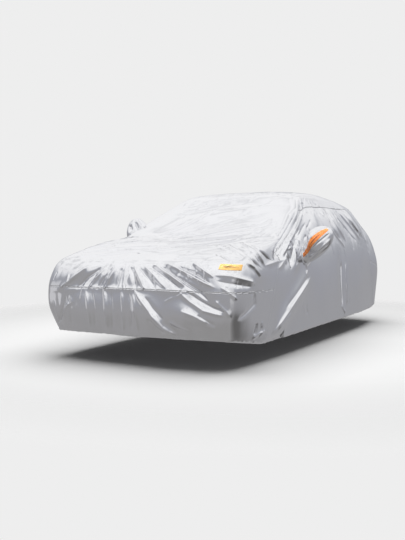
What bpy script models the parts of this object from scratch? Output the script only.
"""A fitted car cover of glossy silver film, standing in the shape that it is pulled over.

Metres, +Z up. The nose points to -Y and the left side to +X. The origin is at the underside of
the roof, in the middle, where the cover is held up. It is hollow and open below, and every
panel is a thin closed sheet between an outer and an inner skin.

One band of cross-sections runs from the front hem over the bonnet, windscreen, roof and rear
glass to the rear hem. The two sides fill in between the band's edges and the side hems. Both
are worked out from two tables of sections, and a third table lists the main folds. The whole
skin is one grid of points, and each panel is a patch of its cells.
"""

import math
from collections import namedtuple

import bmesh
import bpy
from mathutils import Vector

# ---------------------------------------------------------------- driving sizes
ROOF_HEIGHT = 1.470  # underside of the roof above the floor
CLOTH = 0.002  # thickness of the film with its backing
SEAM_GAP = 0.0003  # between the edges of two panels that are sewn together
STRIP_LIFT = 0.0003  # a sewn-on strip above the cloth
STRIP_THICK = 0.0015
SHARPEST = 0.4  # limits how far the corner of a panel is drawn in

# ---------------------------------------------------------------- how finely the skin is divided
ACROSS = 16  # columns of the band from its middle line to each edge
CROWDING = 1.25  # above 1, the columns are closer together in the middle
RISES = ((0, 1, 3), (1, 2, 2), (2, 4, 4), (4, 7, 7))  # from row, to row, steps between
SIDE_STEPS = (3, 5, 5, 6, 5, 4)  # columns of the side between its sections
SEAM_RISE = 5  # rows from the hem to the seam round the nose, and to the one round the tail
DOOR_SEAM = 4  # the side section where the side panel ends and the quarter panel starts

# ---------------------------------------------------------------- sections
# The band. A row is a cross-section from the middle line round a corner to the band's edge.
# mid: y and height on the middle line. corner: where the section's two sides would meet.
# tight: how hard the cloth is pulled towards that corner. edge: how far up the side's end seam
# the section ends, from 0 at the hem to 1 at the top.
Band = namedtuple("Band", "name mid_y mid_h corner_x corner_y corner_h tight edge")
BANDS = (
    Band("front hem", -2.430, 0.255, 0.845, -2.345, 0.250, 1.8, 0.00),
    Band("bumper", -2.500, 0.450, 0.910, -2.435, 0.440, 1.9, 0.20),
    Band("nose seam", -2.480, 0.610, 0.915, -2.425, 0.600, 2.0, 0.36),
    Band("grille", -2.440, 0.715, 0.905, -2.385, 0.712, 2.0, 0.48),
    Band("bonnet lip", -2.370, 0.800, 0.890, -2.300, 0.812, 2.0, 0.60),
    Band("bonnet low", -2.150, 0.872, 0.860, -2.080, 0.885, 1.8, 0.70),
    Band("bonnet high", -1.750, 0.950, 0.840, -1.690, 0.975, 1.6, 0.85),
    Band("cowl", -1.330, 1.005, 0.815, -1.330, 1.022, 1.4, 1.00),
    Band("screen foot", -1.180, 1.075, 0.790, -1.130, 1.100, 1.3, 1.00),
    Band("screen", -0.820, 1.265, 0.735, -0.740, 1.262, 1.4, 1.00),
    Band("header", -0.450, 1.425, 0.600, -0.380, 1.425, 1.5, 1.00),
    Band("roof", 0.110, 1.472, 0.585, 0.110, 1.450, 1.4, 1.00),
    Band("roof back", 0.800, 1.425, 0.570, 0.800, 1.400, 1.4, 1.00),
    Band("spoiler", 1.270, 1.350, 0.555, 1.230, 1.340, 1.4, 1.00),
    Band("rear glass", 1.500, 1.170, 0.660, 1.430, 1.150, 1.3, 0.82),
    Band("tail lip", 1.670, 0.950, 0.800, 1.570, 0.930, 1.3, 0.62),
    Band("tail", 1.740, 0.650, 0.870, 1.630, 0.620, 1.3, 0.36),
    Band("rear hem", 1.690, 0.260, 0.830, 1.570, 0.250, 1.3, 0.00),
)
# The sides. A row is a section from the hem up round the belt to the band's edge.
Side = namedtuple("Side", "name top_x top_y top_h belt_x belt_h hem_x hem_y hem_h")
SIDES = (
    Side("corner seam", 0.815, -1.450, 0.850, 0.915, 0.810, 0.897, -1.850, 0.178),
    Side("pillar foot", 0.785, -1.120, 1.020, 0.905, 0.880, 0.900, -1.560, 0.185),
    Side("pillar", 0.720, -0.760, 1.160, 0.900, 0.930, 0.902, -1.150, 0.190),
    Side("roof corner", 0.665, -0.400, 1.280, 0.897, 0.960, 0.902, -0.650, 0.195),
    Side("door seam", 0.660, 0.110, 1.296, 0.895, 0.975, 0.900, 0.110, 0.200),
    Side("rear door", 0.650, 0.750, 1.298, 0.890, 0.985, 0.895, 0.750, 0.205),
    Side("tail seam", 0.605, 1.200, 1.305, 0.880, 0.960, 0.860, 1.270, 0.210),
)
COWL = next(i for i, band in enumerate(BANDS) if band.name == "cowl")
# How far along its arm each handle of a section's curve lies.
HEM_PULL, RAIL_PULL, CROWN_PULL = 0.75, 0.65, 0.50

# ---------------------------------------------------------------- main folds
# Each is a soft ridge, or a trough where the height is negative, that fades out at both ends.
# The places are (x, height) on the nose and tail, (y, height) on a side, (x, y) on top.
Fold = namedtuple("Fold", "face places width height")
FOLDS = (
    # the fan below the bonnet's lip
    Fold("nose", ((-0.32, 0.80), (-0.68, 0.62)), 0.060, 0.033),
    Fold("nose", ((-0.20, 0.80), (-0.46, 0.62)), 0.055, -0.029),
    Fold("nose", ((-0.09, 0.80), (-0.24, 0.62)), 0.055, 0.031),
    Fold("nose", ((-0.03, 0.79), (-0.06, 0.62)), 0.055, -0.027),
    Fold("nose", ((0.04, 0.80), (0.11, 0.62)), 0.055, 0.031),
    Fold("nose", ((0.12, 0.80), (0.29, 0.62)), 0.055, -0.029),
    Fold("nose", ((0.24, 0.80), (0.50, 0.64)), 0.055, 0.036),
    Fold("nose", ((0.36, 0.80), (0.62, 0.66)), 0.055, -0.029),
    Fold("nose", ((0.52, 0.81), (0.76, 0.70)), 0.055, 0.033),
    # the break across the nose, and what hangs below it
    Fold("nose", ((-0.78, 0.60), (-0.30, 0.61), (0.44, 0.60)), 0.055, -0.022),
    Fold("nose", ((-0.74, 0.58), (-0.80, 0.28)), 0.060, -0.029),
    Fold("nose", ((-0.40, 0.59), (-0.41, 0.27)), 0.055, 0.018),
    Fold("nose", ((-0.20, 0.59), (-0.19, 0.27)), 0.055, 0.018),
    Fold("nose", ((-0.03, 0.58), (-0.01, 0.27)), 0.055, -0.018),
    Fold("nose", ((0.08, 0.60), (0.19, 0.445), (0.32, 0.345), (0.44, 0.28)), 0.055, 0.036),
    Fold("nose", ((0.46, 0.61), (0.70, 0.47), (0.86, 0.42)), 0.055, -0.033),
    Fold("nose", ((0.42, 0.47), (0.56, 0.40), (0.72, 0.35)), 0.055, 0.029),
    # the corner and the side
    Fold("left", ((-2.20, 0.72), (-1.95, 0.69)), 0.055, 0.026),
    Fold("left", ((-0.84, 0.64), (-1.42, 0.37), (-1.74, 0.20)), 0.060, 0.036),
    Fold("left", ((-1.10, 1.00), (-1.16, 0.70)), 0.055, 0.026),
    Fold("left", ((-1.26, 0.94), (-1.34, 0.74)), 0.055, -0.022),
    Fold("left", ((0.11, 0.95), (0.11, 0.20)), 0.055, -0.018),
    Fold("left", ((-0.30, 1.30), (-0.42, 1.04)), 0.060, 0.022),
    Fold("left", ((0.26, 1.32), (0.20, 0.97)), 0.060, 0.026),
    Fold("left", ((0.50, 1.32), (0.74, 0.98)), 0.070, -0.029),
    Fold("left", ((0.80, 1.30), (1.06, 0.98)), 0.070, 0.029),
    Fold("right", ((-0.70, 0.66), (-1.30, 0.36), (-1.66, 0.22)), 0.065, 0.031),
    Fold("right", ((-0.10, 1.30), (-0.30, 1.02)), 0.060, -0.022),
    Fold("right", ((0.60, 1.30), (0.82, 0.97)), 0.070, 0.027),
    # bonnet, windscreen and tail
    Fold("top", ((-0.76, -1.72), (-0.20, -1.46), (0.40, -1.26)), 0.060, -0.026),
    Fold("top", ((-0.62, -1.92), (0.05, -1.62), (0.52, -1.50)), 0.060, 0.018),
    Fold("top", ((0.50, -1.72), (0.72, -1.42)), 0.055, 0.027),
    Fold("top", ((0.62, -1.86), (0.80, -1.60)), 0.055, -0.026),
    Fold("top", ((-0.55, -1.16), (0.10, -0.88), (0.58, -0.72)), 0.070, 0.022),
    Fold("tail", ((-0.30, 0.80), (-0.62, 0.45)), 0.070, 0.027),
    Fold("tail", ((0.12, 0.82), (0.40, 0.35)), 0.070, -0.027),
)
FADE = 0.3  # the share of a fold's length over which it fades in or out
FACING = (0.25, 0.55)  # a fold fades out where the cloth turns away from its face between these

# ---------------------------------------------------------------- mirror pockets
# The hole's middle in the side's grid and its half size, both in cells.
MOUTH_COLUMN, MOUTH_LEVEL = 9, 8
MOUTH_WIDE, MOUTH_HIGH = 2, 2
MOUTH_LIFT = 0.0005  # the ear's rim above the panel that it is sewn to
# The ear's sections from the hole outwards, each an oval square to the ear's axis: its middle,
# its half size towards the front and its half height.
Ear = namedtuple("Ear", "x y height front up")
EARS = (
    Ear(0.900, -0.850, 0.872, 0.112, 0.085),
    Ear(0.938, -0.868, 0.925, 0.150, 0.108),
    Ear(0.975, -0.872, 0.975, 0.145, 0.122),
    Ear(1.010, -0.862, 1.018, 0.115, 0.112),
    Ear(1.044, -0.852, 1.050, 0.083, 0.086),
    Ear(1.068, -0.846, 1.074, 0.045, 0.050),
)
EAR_TIP = (1.080, -0.842, 1.086)
# How far the ear's end leans in and up: it is pulled up more on the right side.
EAR_LEAN = {"left": (0.0, 0.0), "right": (-0.075, 0.105)}
EAR_BEND = 3  # sections over which the ear turns from straight outwards to its axis
STRIP_TURN = math.radians(14)  # half of the strip's width, as seen from the ear's axis
# The column of the ear's points along which the strip's lower edge runs: it is on the front of
# the left ear, and under the right one.
STRIP_COLUMN = {"left": 0, "right": 4}
STRIP_START = 0.2  # where the strip starts, between the ear's rim and its first section

# ---------------------------------------------------------------- headlight strips
HEADLIGHT_ROW = 8  # of the band's cells
HEADLIGHT_COLUMNS = {"left": range(8, 12), "right": range(11, 15)}

# ---------------------------------------------------------------- colours
Finish = namedtuple("Finish", "color roughness metallic")
SILVER = Finish((0.80, 0.81, 0.84), 0.25, 0.9)
ORANGE = Finish((0.86, 0.36, 0.08), 0.40, 0.0)
AMBER = Finish((0.90, 0.58, 0.16), 0.40, 0.0)


def point(x, y, height):
    """A place by its height above the floor, in the cover's own frame."""
    return Vector((x, y, height - ROOF_HEIGHT))


def smooth(values, at):
    """Reads a table's column at a fractional row, without overshooting between its rows."""
    last = len(values) - 1
    row = max(0, min(int(at), last - 1))
    steps = [after - before for before, after in zip(values, values[1:])]

    def slope(i):
        if i in (0, last):
            return steps[min(i, last - 1)]
        before, after = steps[i - 1], steps[i]
        return 0.0 if before * after <= 0 else 2 * before * after / (before + after)

    t = at - row
    return (
        (2 * t**3 - 3 * t**2 + 1) * values[row]
        + (t**3 - 2 * t**2 + t) * slope(row)
        + (3 * t**2 - 2 * t**3) * values[row + 1]
        + (t**3 - t**2) * slope(row + 1)
    )


def read(table, at):
    """A table's row at a fractional place, with every number smoothed."""
    columns = list(zip(*(row[1:] for row in table)))
    return type(table[0])("", *(smooth(column, at) for column in columns))


def curve(start, start_handle, end_handle, end, t):
    """A cubic Bezier's point."""
    s = 1 - t
    return (
        start * s**3
        + start_handle * (3 * s * s * t)
        + end_handle * (3 * s * t * t)
        + end * t**3
    )


# ---------------------------------------------------------------- the grid's lines
def stepped(runs):
    """Places from the runs' first to their last, each run cut into its number of steps."""
    places = [float(runs[0][0])]
    for first, last, steps in runs:
        places += [first + (last - first) * i / steps for i in range(1, steps + 1)]
    return places


RISE_PLACES = stepped(RISES)  # rows of the band from the hem to the cowl
SIDE_PLACES = stepped([(i, i + 1, n) for i, n in enumerate(SIDE_STEPS)])
LEVELS = [read(BANDS, place).edge for place in RISE_PLACES]  # up the sides, 0 to 1
TOP_LEVEL = len(LEVELS) - 1
LAST_COLUMN = len(SIDE_PLACES) - 1
BAND_ROWS = 2 * TOP_LEVEL + LAST_COLUMN
SEAM_COLUMN = sum(SIDE_STEPS[:DOOR_SEAM])


def between(values, at):
    """Reads a list at a fractional index."""
    row = max(0, min(int(at), len(values) - 2))
    return values[row] + (values[row + 1] - values[row]) * (at - row)


def rounded(column, level):
    """Pulls the grid's lines round the pocket's hole into a round one."""
    u = (column - MOUTH_COLUMN) / MOUTH_WIDE
    v = (level - MOUTH_LEVEL) / MOUTH_HIGH
    ring = max(abs(u), abs(v))
    if ring == 0 or ring >= 2:
        return column, level
    u, v = u / ring, v / ring
    pull = ring * min(1, 2 - ring)
    return (
        column + MOUTH_WIDE * pull * u * (math.sqrt(1 - v * v / 2) - 1),
        level + MOUTH_HIGH * pull * v * (math.sqrt(1 - u * u / 2) - 1),
    )


def side_point(column, level):
    """A point of the left side by its column, from the front, and its level, from the hem."""
    column, level = rounded(column, level)
    row = read(SIDES, between(SIDE_PLACES, column))
    hem = point(row.hem_x, row.hem_y, row.hem_h)
    top = point(row.top_x, row.top_y, row.top_h)
    belt = point(row.belt_x, 0, row.belt_h)
    belt.y = hem.y + (top.y - hem.y) * (belt.z - hem.z) / (top.z - hem.z)
    height = between(LEVELS, level)
    return curve(hem, hem.lerp(belt, HEM_PULL), top.lerp(belt, RAIL_PULL), top, height)


def edge_of_band(row):
    """The side's column and level where a row of the band ends."""
    if row <= TOP_LEVEL:
        return 0, row
    if row <= TOP_LEVEL + LAST_COLUMN:
        return row - TOP_LEVEL, TOP_LEVEL
    return LAST_COLUMN, BAND_ROWS - row


def band_place(row):
    """The fractional row of BANDS for a row of the grid's band."""
    column, level = edge_of_band(row)
    if row <= TOP_LEVEL:
        return RISE_PLACES[row]
    if column < LAST_COLUMN or level == TOP_LEVEL:
        return COWL + SIDE_PLACES[column]
    edges = [band.edge for band in BANDS[COWL + len(SIDES) - 1 :]]
    below = next(i for i, edge in enumerate(edges) if edge <= LEVELS[level])
    part = (edges[below - 1] - LEVELS[level]) / (edges[below - 1] - edges[below])
    return COWL + len(SIDES) - 2 + below + part


def band_point(row, column):
    """A point of the band's left half, columns counted from its middle line."""
    section = read(BANDS, band_place(row))
    middle = point(0, section.mid_y, section.mid_h)
    corner = point(section.corner_x, section.corner_y, section.corner_h)
    edge = side_point(*edge_of_band(row))
    crown = Vector((corner.x * CROWN_PULL, middle.y, middle.z))
    t = (column / ACROSS) ** CROWDING
    s = 1 - t
    pulls = (
        (middle, s**4),
        (crown, 4 * s**3 * t),
        (corner, section.tight * 6 * s * s * t * t),
        (corner, section.tight * 4 * s * t**3),
        (edge, t**4),
    )
    return sum((place * pull for place, pull in pulls), Vector()) / sum(pull for _, pull in pulls)


# ---------------------------------------------------------------- the skin
class Skin:
    """The whole cover's surface as one bmesh, with a panel's name for every cell."""

    def __init__(self):
        self.mesh = bmesh.new()
        self.points = {}
        self.cells = {}

    def vertex(self, key):
        """The shared vertex of a grid place: ('band', row, column) or (side, column, level)."""
        if key[0] == "band" and abs(key[2]) == ACROSS:
            key = ("left" if key[2] > 0 else "right", *edge_of_band(key[1]))
        if key not in self.points:
            if key[0] == "band":
                place, mirrored = band_point(key[1], abs(key[2])), key[2] < 0
            else:
                place, mirrored = side_point(key[1], key[2]), key[0] == "right"
            if mirrored:
                place.x = -place.x
            self.points[key] = self.mesh.verts.new(place)
        return self.points[key]

    def cell(self, panel, keys, mirrored=False):
        corners = [self.vertex(key) for key in keys]
        face = self.mesh.faces.new(corners[::-1] if mirrored else corners)
        self.cells.setdefault(panel, []).append(face)


def in_mouth(column, level):
    return (
        abs(column + 0.5 - MOUTH_COLUMN) < MOUTH_WIDE
        and abs(level + 0.5 - MOUTH_LEVEL) < MOUTH_HIGH
    )


def fill_band(skin):
    for row in range(BAND_ROWS):
        name = "top_panel"
        if row < SEAM_RISE:
            name = "front_panel"
        if row >= BAND_ROWS - SEAM_RISE:
            name = "rear_panel"
        for column in range(-ACROSS, ACROSS):
            keys = (row, column), (row, column + 1), (row + 1, column + 1), (row + 1, column)
            skin.cell(name, [("band", *key) for key in keys])


def fill_side(skin, side):
    for column in range(LAST_COLUMN):
        name = f"side_panel_{side}" if column < SEAM_COLUMN else f"quarter_panel_{side}"
        for level in range(TOP_LEVEL):
            if in_mouth(column, level):
                continue
            corners = ((0, 0), (1, 0), (1, 1), (0, 1))
            keys = [(side, column + i, level + j) for i, j in corners]
            skin.cell(name, keys, mirrored=side == "right")


# Which way a face looks, and the two axes that a fold's places are measured along.
FACES = {
    "nose": (Vector((0, -1, 0)), 0, 2),
    "tail": (Vector((0, 1, 0)), 0, 2),
    "left": (Vector((1, 0, 0)), 1, 2),
    "right": (Vector((-1, 0, 0)), 1, 2),
    "top": (Vector((0, 0, 1)), 0, 1),
}


def ramp(value, low, high):
    """0 below low, 1 above high, and a smooth rise between them."""
    t = max(0.0, min(1.0, (value - low) / (high - low)))
    return t * t * (3 - 2 * t)


def along(places, spot):
    """(distance, share of the whole length) of the nearest place of a chain of places."""
    legs = [(Vector(a), Vector(b) - Vector(a)) for a, b in zip(places, places[1:])]
    whole = sum(leg.length for _, leg in legs)
    best, passed = (1e9, 0.0), 0.0
    for start, leg in legs:
        t = max(0.0, min(1.0, (spot - start).dot(leg) / leg.length_squared))
        best = min(best, ((start + leg * t - spot).length, (passed + t * leg.length) / whole))
        passed += leg.length
    return best


def fold_height(place, normal):
    """How far all the folds together move a point of the skin outwards."""
    height = 0.0
    for fold in FOLDS:
        look, across, up = FACES[fold.face]
        facing = ramp(normal.dot(look), *FACING)
        if not facing:
            continue
        spot = Vector((place[across], place[up] + (ROOF_HEIGHT if up == 2 else 0)))
        distance, share = along(fold.places, spot)
        fade = ramp(min(share, 1 - share), 0, FADE)
        height += fold.height * facing * fade * math.exp(-((distance / fold.width) ** 2))
    return height


def build_skin():
    """The skin with its folds."""
    skin = Skin()
    fill_band(skin)
    fill_side(skin, "left")
    fill_side(skin, "right")
    skin.mesh.normal_update()
    moves = [v.normal * fold_height(v.co, v.normal) for v in skin.mesh.verts]
    for v, move in zip(skin.mesh.verts, moves):
        v.co += move
    skin.mesh.normal_update()
    return skin


# ---------------------------------------------------------------- solids
def coat(obj, finish):
    material = bpy.data.materials.new(obj.name)
    material.use_nodes = True
    shader = material.node_tree.nodes["Principled BSDF"]
    shader.inputs["Base Color"].default_value = (*finish.color, 1)
    shader.inputs["Roughness"].default_value = finish.roughness
    shader.inputs["Metallic"].default_value = finish.metallic
    obj.data.materials.append(material)


def solid(name, outer, inner, cells, finish):
    """A closed object from the same cells on an outer and an inner list of points.

    Each cell is a tuple of indices, counter-clockwise from outside. The rim closes the cells'
    free edges.
    """
    triangles = []
    for cell in cells:
        triangles += [(cell[0], cell[i], cell[i + 1]) for i in range(1, len(cell) - 1)]
    sides = {}
    for cell in cells:
        for a, b in zip(cell, cell[1:] + cell[:1]):
            sides[a, b] = True
    rim = [(a, b) for a, b in sides if (b, a) not in sides]
    count = len(outer)
    faces = list(triangles)
    faces += [(c + count, b + count, a + count) for a, b, c in triangles]
    for a, b in rim:
        faces += [(b, a, a + count), (b, a + count, b + count)]
    mesh = bpy.data.meshes.new(name)
    mesh.from_pydata([*outer, *inner], [], faces)
    mesh.shade_smooth()
    mesh.set_sharp_from_angle(angle=math.radians(50))
    obj = bpy.data.objects.new(name, mesh)
    bpy.context.scene.collection.objects.link(obj)
    coat(obj, finish)
    return obj


def drawn_in(faces):
    """For each vertex on the rim of some faces, the move that draws it in by half a seam gap."""
    inside = set(faces)
    ways = {}
    for face in faces:
        for loop in face.loops:
            if any(other in inside for other in loop.edge.link_faces if other is not face):
                continue
            a, b = loop.vert, loop.link_loop_next.vert
            way = face.normal.cross(b.co - a.co).normalized()
            ways.setdefault(a, []).append(way)
            ways.setdefault(b, []).append(way)
    moves = {}
    for vert, found in ways.items():
        whole = sum(found, Vector())
        reach = max(SHARPEST, whole.dot(found[0]))
        moves[vert] = whole * (SEAM_GAP / 2 / reach)
    return moves


def panel(name, faces, outside, inside, finish):
    """A sheet over some of the skin's cells, between two distances from the skin."""
    moves = drawn_in(faces)
    verts = sorted({vert for face in faces for vert in face.verts}, key=lambda v: v.index)
    number = {vert: i for i, vert in enumerate(verts)}
    base = [vert.co + moves.get(vert, Vector()) for vert in verts]
    outer = [place + vert.normal * outside for place, vert in zip(base, verts)]
    inner = [place + vert.normal * inside for place, vert in zip(base, verts)]
    cells = [tuple(number[vert] for vert in face.verts) for face in faces]
    return solid(name, outer, inner, cells, finish)


# ---------------------------------------------------------------- mirror pockets
def mouth_loop():
    """(column, level) round the hole, from its front edge downwards and round."""
    left, right = MOUTH_COLUMN - MOUTH_WIDE, MOUTH_COLUMN + MOUTH_WIDE
    low, high = MOUTH_LEVEL - MOUTH_HIGH, MOUTH_LEVEL + MOUTH_HIGH
    lower_front = [(left, level) for level in range(MOUTH_LEVEL - 1, low, -1)]
    bottom = [(column, low) for column in range(left, right)]
    back = [(right, level) for level in range(low, high)]
    top = [(column, high) for column in range(right, left, -1)]
    upper_front = [(left, level) for level in range(high, MOUTH_LEVEL - 1, -1)]
    return lower_front + bottom + back + top + upper_front


def ear_rim(skin, side):
    """The outer and inner points of the ear's rim, which stands on the panel round the hole."""
    verts = [skin.vertex((side, *key)) for key in mouth_loop()]
    middle = sum((vert.co for vert in verts), Vector()) / len(verts)
    outer, inner = [], []
    for vert in verts:
        away = vert.co - middle
        away = (away - vert.normal * away.dot(vert.normal)).normalized()
        foot = vert.co + vert.normal * MOUTH_LIFT
        outer.append(foot + away * (SEAM_GAP + CLOTH))
        inner.append(foot + away * SEAM_GAP)
    return outer, inner


def ear_place(side, row, share):
    """The middle of an ear's section, whose share of the lean grows from the panel outwards."""
    lean_in, lean_up = EAR_LEAN[side]
    return point(row.x + lean_in * share, row.y, row.height + lean_up * share)


def ear_section(side, number, count):
    """The oval of one of the ear's sections on the left side, as a list of points."""
    ear = EARS[number]
    axis = (ear_place(side, EARS[-1], 1) - ear_place(side, EARS[0], 0)).normalized()
    way = Vector((1, 0, 0)).lerp(axis, min(1.0, (number + 1) / EAR_BEND)).normalized()
    forward = Vector((0, -1, 0))
    front = (forward - way * forward.dot(way)).normalized()
    up = front.cross(way)
    centre = ear_place(side, ear, (number + 1) / len(EARS))
    step = (2 * math.pi - 2 * STRIP_TURN) / (count - 1)
    turns = [-STRIP_TURN - step * i for i in range(count)]
    return [
        centre + front * (ear.front * math.cos(turn)) + up * (ear.up * math.sin(turn))
        for turn in turns
    ]


def offset_points(places, cells, distance):
    """Points moved along the normals of the surface that the cells make."""
    ways = [Vector() for _ in places]
    for cell in cells:
        a, b, c = (places[i] for i in (cell[0], cell[1], cell[-1]))
        way = (b - a).cross(c - a)
        for i in cell:
            ways[i] += way
    return [place + way.normalized() * distance for place, way in zip(places, ways)]


def make_ear(skin, side):
    """The hollow pocket over a hole in the side panel, and the strip that is sewn along it."""
    rim, rim_inside = ear_rim(skin, side)
    count = len(rim)
    mirror = Vector((1 if side == "left" else -1, 1, 1))
    rings = [rim]
    for number in range(len(EARS)):
        rings.append([place * mirror for place in ear_section(side, number, count)])
    rings.insert(1, [foot.lerp(end, STRIP_START) for foot, end in zip(rings[0], rings[1])])
    tip = ear_place(side, EARS[-1], 1) + point(*EAR_TIP) - ear_place("left", EARS[-1], 0)
    places = [place for ring in rings for place in ring] + [tip * mirror]

    cells = []
    last = (len(rings) - 1) * count
    for low in range(0, last, count):
        for i in range(count):
            j = (i + 1) % count
            cells.append((low + i, low + j, low + count + j, low + count + i))
    cells += [(last + i, last + (i + 1) % count, len(places) - 1) for i in range(count)]
    if side == "right":
        cells = [cell[::-1] for cell in cells]
    inner = offset_points(places, cells, -CLOTH)
    inner[:count] = rim_inside
    solid(f"mirror_pocket_{side}", places, inner, cells, SILVER)
    make_mirror_strip(side, rings, offset_points(places, cells, 1.0))


def make_mirror_strip(side, rings, lifted):
    """A strip from beside the ear's rim to its tip, between two columns of the ear's points.

    lifted holds the ear's points, each a metre along its normal.
    """
    count = len(rings[0])
    below = STRIP_COLUMN[side]
    low, high, cells = [], [], []
    for number in range(1, len(rings)):
        for column in ((below - 1) % count, below):
            place = rings[number][column]
            way = lifted[number * count + column] - place
            low.append(place + way * STRIP_LIFT)
            high.append(place + way * (STRIP_LIFT + STRIP_THICK))
    for start in range(0, len(low) - 2, 2):
        cells.append((start, start + 1, start + 3, start + 2))
    if side == "right":
        cells = [cell[::-1] for cell in cells]
    solid(f"mirror_strip_{side}", high, low, cells, ORANGE)


# ---------------------------------------------------------------- the cover
def make_headlight_strip(skin, side):
    """A strip over a few cells of the top panel, at a front corner."""
    sign = 1 if side == "left" else -1
    faces = []
    for column in HEADLIGHT_COLUMNS[side]:
        corners = {
            skin.vertex(("band", HEADLIGHT_ROW + i, sign * (column + j)))
            for i in (0, 1)
            for j in (0, 1)
        }
        faces.append(next(f for f in skin.cells["top_panel"] if set(f.verts) == corners))
    panel(f"headlight_strip_{side}", faces, STRIP_LIFT + STRIP_THICK, STRIP_LIFT, AMBER)


def main():
    for obj in list(bpy.data.objects):
        bpy.data.objects.remove(obj, do_unlink=True)
    skin = build_skin()
    skin.mesh.verts.index_update()
    for name, faces in skin.cells.items():
        panel(name, faces, 0.0, -CLOTH, SILVER)
    for side in ("left", "right"):
        make_ear(skin, side)
        make_headlight_strip(skin, side)
    skin.mesh.free()


if __name__ == "__main__":
    main()
